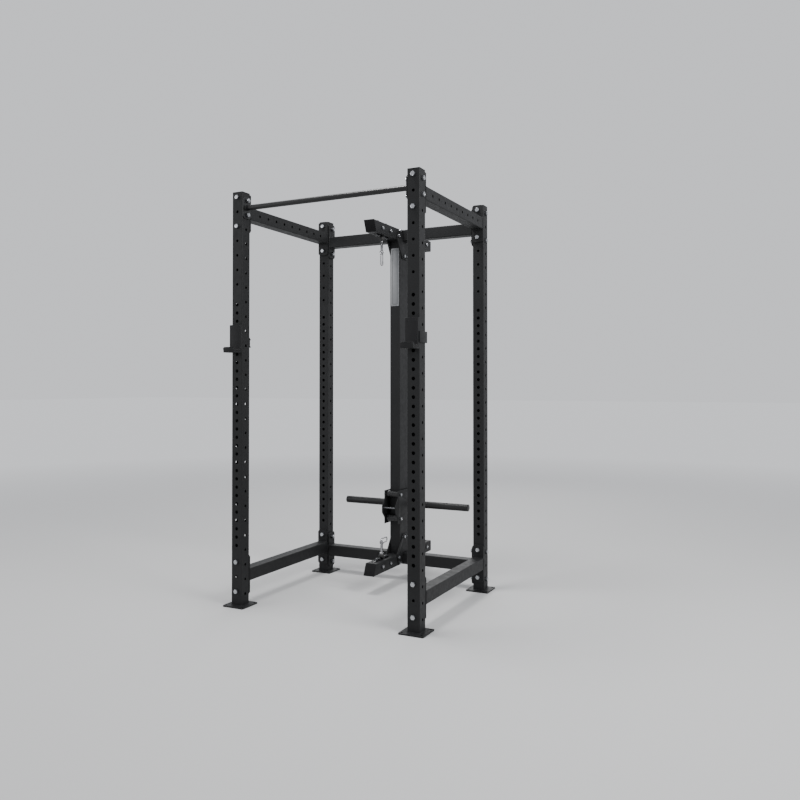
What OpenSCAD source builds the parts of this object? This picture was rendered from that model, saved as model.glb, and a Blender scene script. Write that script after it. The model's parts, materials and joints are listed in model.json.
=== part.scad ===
// Power cage with a cable pull tower, plate loaded.
// +X right, +Y to the back, +Z up, millimetres.
// The origin is on the floor, under the middle of the whole object's box.

/* [Cage] */
// Distance between the left and right upright centres
cage_w = 1178; // [1000:2:1300]
// Distance between the front and rear upright centres
cage_d = 980; // [940:2:1100]
// Height over the upright caps
cage_h = 2500; // [2450:10:2600]
// Side of the square steel tube
tube = 75; // [70:1:80]
// Wall of the square steel tube
wall = 3; // [2:0.5:4]
// Side of a foot plate
foot = 150; // [120:5:180]

/* [Holes] */
// Diameter of the small holes and of the flange holes
small_hole = 17; // [16:0.5:18]
// Diameter of the large rack holes
large_hole = 21; // [20:0.5:24]

/* [Tower] */
// Front to back size of the tower column
column_d = 140; // [120:2:150]
// Front to back place of the column's front face
column_y = 420; // [400:2:430]
// Middle height of the upper arm
upper_arm_z = 2350; // [2340:1:2352]
// Middle height of the lower arm
lower_arm_z = 156; // [150:1:160]

/* [Trolley] */
// Length of the weight horn over both ends
horn_l = 936; // [800:10:1000]
// Diameter of the weight horn
horn_dia = 48; // [40:1:50]

/* [Cable] */
// Diameter of the coated cable
cable_dia = 5; // [4:0.5:6]

/* [Hidden] */
$fn = 32;

// Frame planes, measured from the middle of the four uprights
half_t = tube / 2;
up_x = cage_w / 2;
up_y = cage_d / 2;
tube_r = 5;
foot_t = 8;
foot_cut = 6;
cap_t = 3;
cap_skirt = 15;
cap_play = 0.2;
upright_top = cage_h - cap_t;
inner_x = up_x - half_t;
inner_y = up_y - half_t;
outer_x = up_x + half_t;
front_face_y = -up_y - half_t;

// Hole rows, by height
row_pitch = 88;
rack_pitch = 50;
front_top_z = 2467;
front_top_count = 7;
rack_top_z = 1816;
rack_count = 30;
front_low_z = [267, 179, 91];
side_top_z = 2449;
side_count = 28;
anchor_hole = 14;
anchor_pitch = 118;

// Flange plates and beams
flange_t = 10;
flange_h = 240;
flange_cut = 12;
upper_side_z = front_top_z - row_pitch;
lower_side_z = front_low_z[1];
upper_rear_flange_z = side_top_z - row_pitch;
lower_rear_flange_z = side_top_z - 26 * row_pitch;
side_beam_holes = 9;
bar_z = side_top_z - row_pitch / 2;
bar_dia = 32;
bar_flange_h = 130;
bar_flange_t = 6;

// Fasteners
m16 = 16;
m16_head = 24;
m16_head_h = 10;
m16_nut_h = 13;
m12 = 12;
m12_head = 19;
m12_head_h = 8;
m12_nut_h = 10;
m12_hole = 12.6;
washer_t = 2.5;
washer_ratio = 1.2;
thread_clear = 0.1;
thread_end = 4;

// Tower
column_rear_y = column_y + column_d;
arm_front_y = 54;
arm_rear_y = 927;
slant = 30;
slot_w = 26;
end_cap_t = 4;
saddle_t = 6;
label_z = 2064;
label_w = 62;
label_h = 394;
label_t = 2;
label_r = 5;
column_base_z = lower_arm_z + half_t;
column_top_z = upper_arm_z - half_t;

// Pulleys: [y, z, radius]. The cable centreline lies 3 mm inside the rim.
big_r = 53;
small_r = 38;
rim = 3;
pulley_w = 16;
hub_w = 18;
hub_wall = 14;
web_w = 6;
rim_h = 13;
groove_w = 13;
sleeve_dia = 20;
sleeve_gap = 0.4;
axle_clear = 0.06;
lower_axle_z = 160;
cable_top_z = upper_arm_z + big_r - rim;
nose_y = 165;
front_y = 277;
rear_y = 850;
pull_y = front_y - big_r + rim;
upper_nose = [nose_y, upper_arm_z, big_r];
upper_front = [front_y, upper_arm_z, big_r];
upper_middle = [569, cable_top_z - small_r + rim, small_r];
upper_return = [709, cable_top_z - small_r + rim, small_r];
upper_rear = [rear_y, upper_arm_z, big_r];
lower_rear = [rear_y, lower_axle_z, big_r];
lower_front = [front_y, lower_axle_z, big_r];
lower_nose = [nose_y, lower_axle_z, big_r];
tower_pulleys = [upper_nose, upper_front, upper_middle, upper_return, upper_rear,
    lower_rear, lower_front, lower_nose];
trolley_pulley_at = [(upper_middle[0] + upper_return[0]) / 2, 640, small_r];

// Trolley
plate_x = 46;
plate_t = 6;
roller_r = 22;
roller_w = 90;
roller_step = 2;
roller_gap = 0.3;
roller_z = [594, 434];
roller_y = [column_y - roller_gap - roller_r, column_rear_y + roller_gap + roller_r];
horn_y = column_rear_y + 27;
horn_z = 508;
collar_dia = 70;
collar_t = 8;
horn_play = 0.4;
plate_outline = [
    [365, 400], [622, 400], [622, 452], [686, 600], [686, 670], [672, 684], [606, 684],
    [575, 622], [365, 622], [365, 570], [329, 522], [329, 478], [365, 440]];
nose_bar = [345, 509];
tail_bar = [612, 414];
frame_bar_dia = 10;

// Cable ends, hooks
ball_r = 19;
high_ball_z = 2295;
low_ball_z = 214;
stud_dia = 16;
high_eye_z = 2204;
low_eye_z = 300;
eye_r = 11;
eye_wire = 8;
hook_wire = 8;
hook_w = 36;
hook_len = 92;
hook_gap = 0.5;
hook_r = (hook_w - hook_wire) / 2;
gate_eye_r = 4;
gate_eye_w = 3.4;
gate_top = 8;
gate_pivot = hook_len - hook_w - 9;
cheek_t = 2;
rivet_dia = 2.4;

// J-cups: z and y are measured from the bottom of the J and from the post's front face
jcup_z = 1525;
jcup_w = 76;
jcup_h = 168;
jcup_t = 8;
jcup_gap = 0.3;
bend_r = 18;
liner_t = 14;
seat_z = 16;
tray_reach = 85;
lip_lean = 6;
lip_h = 28;
peg_z = rack_top_z - 3 * rack_pitch - jcup_z;
peg_dia = large_hole - 1;
peg_l = 40;
ear_z = 34;
ear_h = 61;
ear_t = 5;
ear_in = half_t + 1;
return_y = tube + 5;
return_short = 5;
lug_h = 8;

// Where the middle of the four uprights lies in the part's own frame
cage_front_y = front_face_y - tray_reach;
cage_rear_y = arm_rear_y + end_cap_t;
shift_y = -(cage_front_y + cage_rear_y) / 2;

powder = "#26282a";
zinc = "#c9cbcd";
plastic = "#17181a";
nylon = "#3a3c3e";

module in_part_frame() {
    translate([0, shift_y, 0]) children();
}

// Turns a child drawn up the Z axis to lie along +X
module along_x() {
    rotate([0, 90, 0]) children();
}

// Turns a child drawn up the Z axis to lie along +Y
module along_y() {
    rotate([-90, 0, 0]) children();
}

// Draws a (y, z) outline and gives it thickness from x upwards
module side_plate(x, t) {
    translate([x, 0, 0])
        rotate([90, 0, 90]) linear_extrude(t) children();
}

module rounded_square(side_x, side_y, r) {
    square([side_x - 2 * r, side_y], center = true);
    square([side_x, side_y - 2 * r], center = true);
    for (x = [-1, 1], y = [-1, 1])
        translate([x * (side_x / 2 - r), y * (side_y / 2 - r)]) circle(r);
}

module tube_section(side_x, side_y) {
    difference() {
        rounded_square(side_x, side_y, tube_r);
        rounded_square(side_x - 2 * wall, side_y - 2 * wall, tube_r - wall);
    }
}

// Rectangle with its four corners cut at 45 degrees
module cut_plate(w, h, cut) {
    polygon([
        [-w / 2 + cut, -h / 2], [w / 2 - cut, -h / 2], [w / 2, -h / 2 + cut],
        [w / 2, h / 2 - cut], [w / 2 - cut, h / 2], [-w / 2 + cut, h / 2],
        [-w / 2, h / 2 - cut], [-w / 2, -h / 2 + cut]]);
}

// Flange plate of height h and thickness t lying in XY, its two holes hole_at from its middle
module flange(h, t, hole_at) {
    linear_extrude(t) difference() {
        cut_plate(tube, h, flange_cut);
        for (y = [-1, 1]) translate([0, y * hole_at]) circle(d = small_hole);
    }
}

// Hexagon bolt: head below z = 0, shank up to l, washer under the head
module hex_bolt(dia, head, head_h, l) {
    translate([0, 0, -head_h - washer_t]) cylinder(d = head / cos(30), h = head_h, $fn = 6);
    translate([0, 0, -washer_t]) cylinder(d = head * washer_ratio, h = washer_t);
    translate([0, 0, -washer_t]) cylinder(d = dia, h = l + washer_t);
}

// Hexagon nut with its washer, sitting on z = 0
module hex_nut(dia, head, nut_h) {
    difference() {
        union() {
            cylinder(d = head * washer_ratio, h = washer_t);
            translate([0, 0, washer_t]) cylinder(d = head / cos(30), h = nut_h, $fn = 6);
        }
        translate([0, 0, -1]) cylinder(d = dia, h = nut_h + washer_t + 2);
    }
}

// ---------- Uprights ----------

module upright(x, y) {
    color(powder) in_part_frame() translate([x, y, 0]) difference() {
        union() {
            linear_extrude(foot_t) difference() {
                cut_plate(foot, foot, foot_cut);
                for (a = [-1, 1], b = [-1, 1])
                    translate([a, b] * anchor_pitch / 2) circle(d = anchor_hole);
            }
            translate([0, 0, foot_t])
                linear_extrude(upright_top - foot_t) tube_section(tube, tube);
        }
        for (i = [0 : front_top_count - 1]) cross_hole_y(front_top_z - i * row_pitch, small_hole);
        for (i = [0 : rack_count - 1]) cross_hole_y(rack_top_z - i * rack_pitch, large_hole);
        for (z = front_low_z) cross_hole_y(z, small_hole);
        for (i = [0 : side_count - 1]) cross_hole_x(side_top_z - i * row_pitch, small_hole);
    }
}

module cross_hole_y(z, dia) {
    translate([0, -tube, z]) along_y() cylinder(d = dia, h = 2 * tube);
}

module cross_hole_x(z, dia) {
    translate([-tube, 0, z]) along_x() cylinder(d = dia, h = 2 * tube);
}

module upright_front_left() { upright(-up_x, -up_y); }
module upright_front_right() { upright(up_x, -up_y); }
module upright_rear_left() { upright(-up_x, up_y); }
module upright_rear_right() { upright(up_x, up_y); }

module upright_caps() {
    skirt = tube - 2 * (wall + cap_play);
    color(plastic) in_part_frame()
        for (x = [-up_x, up_x], y = [-up_y, up_y]) translate([x, y, upright_top]) {
            linear_extrude(cap_t) rounded_square(tube, tube, tube_r);
            translate([0, 0, -cap_skirt]) linear_extrude(cap_skirt)
                rounded_square(skirt, skirt, tube_r - wall - cap_play);
        }
}

// ---------- Beams ----------

module side_beam(x, z, holes) {
    l = 2 * inner_y;
    color(powder) in_part_frame() translate([x, 0, z]) {
        difference() {
            translate([0, flange_t - l / 2, 0]) along_y()
                linear_extrude(l - 2 * flange_t) tube_section(tube, tube);
            for (i = [0 : 1 : holes - 1])
                translate([-tube, (i - (holes - 1) / 2) * row_pitch, 0]) along_x()
                    cylinder(d = small_hole, h = 2 * tube);
        }
        for (y = [-l / 2, l / 2 - flange_t]) translate([0, y, 0]) along_y()
            flange(flange_h, flange_t, row_pitch);
    }
}

module side_beam_upper_left() { side_beam(-up_x, upper_side_z, side_beam_holes); }
module side_beam_upper_right() { side_beam(up_x, upper_side_z, side_beam_holes); }
module side_beam_lower_left() { side_beam(-up_x, lower_side_z, 0); }
module side_beam_lower_right() { side_beam(up_x, lower_side_z, 0); }

// Flange plate standing in YZ, its outer face towards the upright at x
module side_flange(x, h, t, hole_at) {
    translate([x, 0, 0]) rotate([90, 0, 90]) flange(h, t, hole_at);
}

module rear_beam(beam_z, flange_z) {
    l = 2 * inner_x;
    color(powder) in_part_frame() translate([0, up_y, 0]) {
        translate([flange_t - l / 2, 0, beam_z]) along_x()
            linear_extrude(l - 2 * flange_t) tube_section(tube, tube);
        for (x = [-l / 2, l / 2 - flange_t]) translate([0, 0, flange_z])
            side_flange(x, flange_h, flange_t, row_pitch);
    }
}

module rear_beam_upper() { rear_beam(upper_arm_z, upper_rear_flange_z); }
module rear_beam_lower() { rear_beam(lower_arm_z, lower_rear_flange_z); }

module pull_up_bar() {
    l = 2 * inner_x;
    color(powder) in_part_frame() translate([0, -up_y, bar_z]) {
        translate([bar_flange_t - l / 2, 0, 0]) along_x()
            cylinder(d = bar_dia, h = l - 2 * bar_flange_t);
        for (x = [-l / 2, l / 2 - bar_flange_t])
            side_flange(x, bar_flange_h, bar_flange_t, row_pitch / 2);
    }
}

// ---------- Frame fasteners ----------

side_bolt_z = [upper_side_z + row_pitch, upper_side_z - row_pitch,
    lower_side_z + row_pitch, lower_side_z - row_pitch];
rear_bolt_z = [upper_rear_flange_z + row_pitch, upper_rear_flange_z - row_pitch,
    lower_rear_flange_z + row_pitch, lower_rear_flange_z - row_pitch];
bar_bolt_z = [bar_z + row_pitch / 2, bar_z - row_pitch / 2];
beam_grip = tube + flange_t;
bar_grip = tube + bar_flange_t;

// Puts its children at every frame bolt, standing on the head side's face
module at_side_bolts(depth) {
    for (x = [-up_x, up_x], z = side_bolt_z, y = [front_face_y, inner_y - flange_t])
        translate([x, y + depth, z]) along_y() children();
}

module at_cross_bolts(depth, y, heights) {
    for (s = [-1, 1], z = heights) translate([s * (outer_x - depth), y, z])
        rotate([0, -s * 90, 0]) children();
}

module frame_bolt(grip) {
    hex_bolt(m16, m16_head, m16_head_h, grip + washer_t + m16_nut_h + thread_end);
}

module frame_nut() {
    hex_nut(m16 + thread_clear, m16_head, m16_nut_h);
}

module frame_bolts() {
    color(zinc) in_part_frame() {
        at_side_bolts(0) frame_bolt(beam_grip);
        at_cross_bolts(0, up_y, rear_bolt_z) frame_bolt(beam_grip);
        at_cross_bolts(0, -up_y, bar_bolt_z) frame_bolt(bar_grip);
    }
}

module frame_nuts() {
    color(zinc) in_part_frame() {
        at_side_bolts(beam_grip) frame_nut();
        at_cross_bolts(beam_grip, up_y, rear_bolt_z) frame_nut();
        at_cross_bolts(bar_grip, -up_y, bar_bolt_z) frame_nut();
    }
}

// ---------- Tower ----------

saddle_bolts_upper = [[472, 2211], [508, 2211], [387, 2337], [405, 2374], [590, 2322]];
saddle_bolts_lower = [[472, 301], [508, 301], [391, 175], [408, 136],
    [589, 175], [572, 136]];
tower_bolt_at = concat(saddle_bolts_upper, saddle_bolts_lower);

module tower_bolt_holes() {
    for (p = tower_bolt_at) translate([-tube, p[0], p[1]]) along_x()
        cylinder(d = m12_hole, h = 2 * tube);
}

module axle_holes() {
    for (p = tower_pulleys) translate([-tube, p[0], p[1]]) along_x()
        cylinder(d = m12_hole, h = 2 * tube);
}

module tower_column() {
    color(powder) in_part_frame() difference() {
        translate([0, column_y + column_d / 2, column_base_z])
            linear_extrude(column_top_z - column_base_z) tube_section(tube, column_d);
        tower_bolt_holes();
    }
}

module label_plate() {
    color("#a9acae") in_part_frame() translate([0, column_y, label_z])
        rotate([90, 0, 0]) linear_extrude(label_t) rounded_square(label_w, label_h, label_r);
}

// Square tube along Y at height z, with its pulley slots and bolt holes cut
module arm(z, from_y, to_y, top_slots, bottom_slots) {
    color(powder) in_part_frame() difference() {
        translate([0, from_y, z]) along_y() linear_extrude(to_y - from_y) tube_section(tube, tube);
        for (s = top_slots) slot(s, z + half_t);
        for (s = bottom_slots) slot(s, z - half_t);
        tower_bolt_holes();
        axle_holes();
        nose_cut(z);
    }
}

module slot(span, z) {
    translate([-slot_w / 2, span[0], z - 2 * wall])
        cube([slot_w, span[1] - span[0], 4 * wall]);
}

// The front end leans back: by its lower edge on the upper arm, its upper edge on the lower arm
module nose_cut(z) {
    back = z > cage_h / 2 ? -1 : 1;
    reach = 60;
    side_plate(-tube, 2 * tube) polygon([
        [arm_front_y - 20, z - back * reach], [arm_front_y - 20, z + back * reach],
        [arm_front_y + slant * (0.5 + reach / tube), z + back * reach],
        [arm_front_y + slant * (0.5 - reach / tube), z - back * reach]]);
}

module upper_arm_front() {
    arm(upper_arm_z, arm_front_y, inner_y, [[119, 323]], [[119, 323]]);
}
module upper_arm_rear() {
    arm(upper_arm_z, up_y + half_t, arm_rear_y,
        [[532, 608], [670, 748], [803, 897]], [[592, 616], [662, 686], [803, 912]]);
}
module lower_arm_front() {
    arm(lower_arm_z, arm_front_y, inner_y, [[115, 327]], [[122, 320]]);
}
module lower_arm_rear() {
    arm(lower_arm_z, up_y + half_t, arm_rear_y, [[799, 912]], [[805, 895]]);
}

// Half of a saddle outline, mirrored about the crossmember's middle
module saddle_outline(half) {
    polygon(concat(half, [for (i = [len(half) - 1 : -1 : 0]) [2 * up_y - half[i][0], half[i][1]]]));
}

module saddle_plates(half, bolts) {
    color(powder) in_part_frame() for (x = [half_t, -half_t - saddle_t])
        side_plate(x, saddle_t) difference() {
            saddle_outline(half);
            for (p = bolts) translate(p) circle(d = m12_hole);
        }
}

module upper_saddle_plates() {
    saddle_plates([[450, 2190], [372, 2320], [372, 2338], [392, 2385], [451, 2385], [451, 2311]],
        concat(saddle_bolts_upper, [[upper_middle[0], upper_middle[1]]]));
}
module lower_saddle_plates() {
    saddle_plates([[456, 320], [374, 198], [374, 178], [394, 124], [451, 124], [451, 195]],
        saddle_bolts_lower);
}

saddle_grip = tube + 2 * saddle_t;
m12_l = saddle_grip + washer_t + m12_nut_h + thread_end;

// The middle pulley's axle also holds the saddle plates
function axle_half(p) = p == upper_middle ? saddle_grip / 2 : half_t;

module tower_bolts() {
    color(zinc) in_part_frame() for (p = tower_bolt_at)
        translate([saddle_grip / 2, p[0], p[1]]) rotate([0, -90, 0])
            hex_bolt(m12, m12_head, m12_head_h, m12_l);
}

module tower_nuts() {
    color(zinc) in_part_frame() {
        for (p = tower_bolt_at) translate([-saddle_grip / 2, p[0], p[1]])
            rotate([0, -90, 0]) hex_nut(m12 + thread_clear, m12_head, m12_nut_h);
        for (p = tower_pulleys) translate([-axle_half(p), p[0], p[1]])
            rotate([0, -90, 0]) hex_nut(m12 + thread_clear, m12_head, m12_nut_h);
    }
}

module arm_end_caps() {
    color(plastic) in_part_frame() {
        for (z = [upper_arm_z, lower_arm_z]) {
            back = z > cage_h / 2 ? -1 : 1;
            side_plate(-half_t, tube) polygon([
                [arm_front_y - end_cap_t, z - back * half_t], [arm_front_y, z - back * half_t],
                [arm_front_y + slant, z + back * half_t],
                [arm_front_y + slant - end_cap_t, z + back * half_t]]);
            translate([0, arm_rear_y, z]) along_y()
                linear_extrude(end_cap_t) rounded_square(tube, tube, tube_r);
        }
    }
}

// ---------- Pulleys ----------

// Grooved wheel on the X axis
module pulley(at) {
    r = at[2];
    color(nylon) in_part_frame() translate([0, at[0], at[1]]) along_x()
        rotate_extrude() difference() {
            union() {
                translate([m12 / 2 + axle_clear, -hub_w / 2]) square([hub_wall, hub_w]);
                translate([m12 / 2 + axle_clear, -web_w / 2]) square([r - rim_h, web_w]);
                translate([r - rim_h, -pulley_w / 2]) square([rim_h, pulley_w]);
            }
            translate([r - rim, 0]) circle(r = cable_dia / 2 + 0.5);
            polygon([[r - rim, -web_w / 2], [r + 1, -groove_w / 2],
                [r + 1, groove_w / 2], [r - rim, web_w / 2]]);
        }
}

module upper_nose_pulley() { pulley(upper_nose); }
module upper_front_pulley() { pulley(upper_front); }
module upper_middle_pulley() { pulley(upper_middle); }
module upper_return_pulley() { pulley(upper_return); }
module upper_rear_pulley() { pulley(upper_rear); }
module lower_rear_pulley() { pulley(lower_rear); }
module lower_front_pulley() { pulley(lower_front); }
module lower_nose_pulley() { pulley(lower_nose); }
module trolley_pulley() { pulley(trolley_pulley_at); }

module pulley_axles() {
    color(zinc) in_part_frame() for (p = tower_pulleys)
        translate([axle_half(p), p[0], p[1]]) rotate([0, -90, 0])
            hex_bolt(m12, m12_head, m12_head_h,
                2 * axle_half(p) + washer_t + m12_nut_h + thread_end);
}

// Two sleeves on an axle, from the hub out to the plates at +-x_out
module axle_sleeves(p, x_out) {
    x_in = hub_w / 2 + sleeve_gap;
    for (x = [x_in, -x_out]) translate([x, p[0], p[1]]) along_x() difference() {
        cylinder(d = sleeve_dia, h = x_out - x_in);
        translate([0, 0, -1]) cylinder(d = m12_hole, h = x_out);
    }
}

module pulley_spacers() {
    color(zinc) in_part_frame() for (p = tower_pulleys) axle_sleeves(p, half_t - wall);
}

// ---------- Trolley ----------

roller_at = [for (z = roller_z, y = roller_y) [y, z]];
trolley_axle_at = concat(roller_at, [[trolley_pulley_at[0], trolley_pulley_at[1]]]);
trolley_grip = 2 * (plate_x + plate_t);
trolley_bolt_l = trolley_grip + washer_t + m12_nut_h + thread_end;

module trolley_plate(x) {
    color(powder) in_part_frame() side_plate(x, plate_t) difference() {
        polygon(plate_outline);
        for (p = trolley_axle_at) translate(p) circle(d = m12_hole);
        translate([horn_y, horn_z]) circle(d = horn_dia + horn_play);
    }
}

module trolley_plate_left() { trolley_plate(-plate_x - plate_t); }
module trolley_plate_right() { trolley_plate(plate_x); }

module weight_horn() {
    color(powder) in_part_frame() translate([-horn_l / 2, horn_y, horn_z]) along_x() {
        cylinder(d = horn_dia, h = horn_l);
        for (x = [-1, 1]) translate([0, 0, horn_l / 2 - collar_t / 2
                + x * (plate_x + plate_t + collar_t / 2)])
            cylinder(d = collar_dia, h = collar_t);
    }
}

module trolley_axles() {
    color(zinc) in_part_frame() for (p = trolley_axle_at) {
        translate([trolley_grip / 2, p[0], p[1]]) rotate([0, -90, 0])
            hex_bolt(m12, m12_head, m12_head_h, trolley_bolt_l);
        translate([-trolley_grip / 2, p[0], p[1]]) rotate([0, -90, 0])
            hex_nut(m12 + thread_clear, m12_head, m12_nut_h);
    }
}

module trolley_spacers() {
    color(powder) in_part_frame() {
        for (p = [nose_bar, tail_bar]) translate([-plate_x, p[0], p[1]]) along_x()
            cylinder(d = frame_bar_dia, h = 2 * plate_x);
        axle_sleeves(trolley_pulley_at, plate_x);
    }
}

module roller(at) {
    color(plastic) in_part_frame() translate([-roller_w / 2, at[0], at[1]]) along_x()
        difference() {
            union() {
                cylinder(r = roller_r - roller_step, h = roller_w);
                translate([0, 0, roller_step])
                    cylinder(r = roller_r, h = roller_w - 2 * roller_step);
            }
            translate([0, 0, -1]) cylinder(d = m12 + 2 * axle_clear, h = roller_w + 2);
        }
}

module roller_front_upper() { roller(roller_at[0]); }
module roller_rear_upper() { roller(roller_at[1]); }
module roller_front_lower() { roller(roller_at[2]); }
module roller_rear_lower() { roller(roller_at[3]); }

// ---------- Cable ----------

// Part of a ring round the X axis, from angle a over sweep degrees (0 = +Y, 90 = +Z)
module cable_arc(at, a, sweep) {
    translate([0, at[0], at[1]]) rotate([90, 0, 90]) rotate([0, 0, a])
        rotate_extrude(angle = sweep) translate([at[2] - rim, 0]) circle(d = cable_dia);
}

module cable_y(from_y, to_y, z) {
    translate([0, from_y, z]) along_y() cylinder(d = cable_dia, h = to_y - from_y);
}

module cable_z(y, from_z, to_z) {
    translate([0, y, from_z]) cylinder(d = cable_dia, h = to_z - from_z);
}

lower_run_z = lower_axle_z - big_r + rim;
down_run_y = rear_y + big_r - rim;

module cable_fixed() {
    color("#141414") in_part_frame() {
        cable_arc(upper_front, 90, 90);
        cable_y(upper_front[0], upper_middle[0], cable_top_z);
        cable_arc(upper_middle, 0, 90);
        cable_arc(upper_return, 90, 90);
        cable_y(upper_return[0], upper_rear[0], cable_top_z);
        cable_arc(upper_rear, 0, 90);
        cable_z(down_run_y, lower_axle_z, upper_arm_z);
        cable_arc(lower_rear, 270, 90);
        cable_y(lower_front[0], lower_rear[0], lower_run_z);
        cable_arc(lower_front, 180, 90);
        cable_z(pull_y, lower_axle_z, low_ball_z);
    }
}

module cable_trolley_loop() {
    color("#141414") in_part_frame() cable_arc(trolley_pulley_at, 180, 180);
}

module cable_trolley_runs() {
    color("#141414") in_part_frame() for (s = [-1, 1])
        cable_z(trolley_pulley_at[0] + s * (small_r - rim), trolley_pulley_at[1], upper_middle[1]);
}

module cable_pull() {
    color("#141414") in_part_frame() cable_z(pull_y, high_ball_z, upper_arm_z);
}

// Rubber ball, stud and eye on the cable's end; dir = -1 hangs, 1 stands
module cable_end(ball_z, eye_z, dir) {
    stud_from = ball_z + dir * (ball_r - 4);
    in_part_frame() translate([0, pull_y, 0]) {
        color(plastic) translate([0, 0, ball_z]) difference() {
            sphere(ball_r, $fn = 48);
            translate([0, 0, dir * (ball_r - 4)]) rotate([dir > 0 ? 0 : 180, 0, 0])
                cylinder(d = stud_dia + 0.4, h = 10);
            translate([0, 0, -dir * 60]) rotate([dir > 0 ? 0 : 180, 0, 0])
                cylinder(d = cable_dia + 0.2, h = 60);
        }
        color(zinc) {
            translate([0, 0, stud_from]) rotate([dir > 0 ? 0 : 180, 0, 0])
                cylinder(d = stud_dia, h = abs(eye_z - stud_from) - eye_r);
            translate([0, 0, eye_z]) rotate([90, 0, 0]) rotate_extrude()
                translate([eye_r, 0]) circle(d = eye_wire);
        }
    }
}

module high_cable_end() { cable_end(high_ball_z, high_eye_z, -1); }
module low_cable_end() { cable_end(low_ball_z, low_eye_z, 1); }

// Snap hook in the YZ plane, hanging down from z = 0 (its wire's middle at the top).
// The gate turns on a rivet between two cheeks at the lower end of the hook's mouth.
module gate_eye(r, w) {
    translate([-w / 2, hook_r, -hook_r - gate_pivot]) along_x() cylinder(r = r, h = w);
}

module hook_bar(y, from, to, dia) {
    translate([0, y, -hook_r - to]) cylinder(d = dia, h = to - from);
}

module hook_bend(z, turn) {
    translate([0, 0, z]) rotate([90, 0, 90]) rotate([0, 0, turn])
        rotate_extrude(angle = 180) translate([hook_r, 0]) circle(d = hook_wire);
}

module hook_body() {
    straight = hook_len - hook_w;
    hook_bend(-hook_r, 0);
    hook_bend(-hook_r - straight, 180);
    hook_bar(-hook_r, 0, straight, hook_wire);
    hook_bar(hook_r, 0, gate_top, hook_wire);
    hook_bar(hook_r, gate_pivot + gate_eye_r + hook_gap, straight, hook_wire);
    for (s = [-1, 1]) translate([s * (gate_eye_w / 2 + hook_gap / 2 + cheek_t / 2), 0, 0]) {
        gate_eye(gate_eye_r, cheek_t);
        translate([-cheek_t / 2, hook_r - 3, -hook_r - gate_pivot - 6]) cube([cheek_t, 6, 6]);
    }
    gate_eye(rivet_dia / 2, gate_eye_w + 2 * cheek_t);
}

module hook_gate() {
    neck = gate_pivot - gate_eye_r - 1.5;
    difference() {
        union() {
            gate_eye(gate_eye_r, gate_eye_w);
            translate([-gate_eye_w / 2, hook_r - 2.5, -hook_r - gate_pivot])
                cube([gate_eye_w, 5, gate_pivot - neck + 1]);
            hook_bar(hook_r, gate_top + hook_gap, neck, hook_wire - 1);
        }
        gate_eye(rivet_dia / 2 + axle_clear, gate_eye_w + 2);
    }
}

// The hook's top wire sits in the eye, just above the eye's lower bend
module high_hook_frame() {
    in_part_frame() translate([0, pull_y, high_eye_z - eye_r + hook_wire + hook_gap]) children();
}

// The lower hook lies back from the eye's upper bend
module low_hook_frame() {
    in_part_frame() translate([0, pull_y, low_eye_z + eye_r]) rotate([90, 0, 0])
        translate([0, 0, hook_wire + hook_gap]) children();
}

module high_hook() { color(zinc) high_hook_frame() hook_body(); }
module high_hook_gate() { color(zinc) high_hook_frame() hook_gate(); }
module low_hook() { color(zinc) low_hook_frame() hook_body(); }
module low_hook_gate() { color(zinc) low_hook_frame() hook_gate(); }

// ---------- J-cups ----------

// side = 1 puts the ear on the post's right side, -1 on its left side
module jcup_frame(x, side) {
    in_part_frame() translate([x, front_face_y, jcup_z])
        mirror([side < 0 ? 1 : 0, 0, 0]) children();
}

module jcup_bracket(x, side) {
    color(powder) jcup_frame(x, side) {
        side_plate(-jcup_w / 2, jcup_w) translate([-jcup_gap, 0]) {
            translate([-jcup_t, bend_r]) square([jcup_t, jcup_h - bend_r]);
            translate([-bend_r, bend_r]) difference() {
                circle(bend_r);
                circle(bend_r - jcup_t);
                translate([-2 * bend_r, 0]) square([4 * bend_r, 2 * bend_r]);
                translate([-2 * bend_r, -2 * bend_r]) square([2 * bend_r, 4 * bend_r]);
            }
            polygon([
                [-bend_r, 0], [-tray_reach + lip_lean, 0], [-tray_reach, lip_h],
                [-tray_reach + jcup_t, lip_h], [-tray_reach + jcup_t + lip_lean, jcup_t],
                [-bend_r, jcup_t]]);
        }
        ear();
        translate([0, -jcup_gap - 1, peg_z]) along_y() cylinder(d = peg_dia, h = peg_l);
    }
}

// Runs round the post's outer side and behind its back, ending in two lugs
module ear() {
    return_x = return_short - half_t;
    translate([0, 0, ear_z]) {
        linear_extrude(ear_h) polygon([
            [jcup_w / 2 - 1, -jcup_t - jcup_gap], [ear_in + ear_t, -jcup_t - jcup_gap],
            [ear_in + ear_t, return_y + ear_t], [return_x, return_y + ear_t],
            [return_x, return_y], [ear_in, return_y], [ear_in, -jcup_gap],
            [jcup_w / 2 - 1, -jcup_gap]]);
        for (z = [0, ear_h - 2 * lug_h]) translate([-half_t, return_y, z])
            cube([return_short + 1, ear_t, lug_h]);
    }
}

// Pad in the J, and pad behind the post
module jcup_liner(x, side) {
    front = -jcup_t - liner_t;
    lip_y = -tray_reach + jcup_t;
    color(plastic) jcup_frame(x, side) {
        side_plate(-jcup_w / 2, jcup_w) translate([-jcup_gap, 0]) polygon([
            [-jcup_t, bend_r], [-jcup_t - 3, 11], [-bend_r, jcup_t], [lip_y + lip_lean, jcup_t],
            [lip_y, lip_h], [lip_y - 0.5, lip_h + 5], [lip_y + 6, lip_h + 5],
            [lip_y + 11, seat_z + 2], [lip_y + 19, seat_z], [front - 14, seat_z],
            [front - 4, seat_z + 4], [front, seat_z + 14], [front, jcup_h - 1],
            [-jcup_t, jcup_h - 1]]);
        translate([-half_t + 8, tube + 0.5, ear_z + 3])
            cube([tube - 16, return_y - tube - 0.5, ear_h - 6]);
    }
}

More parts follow.
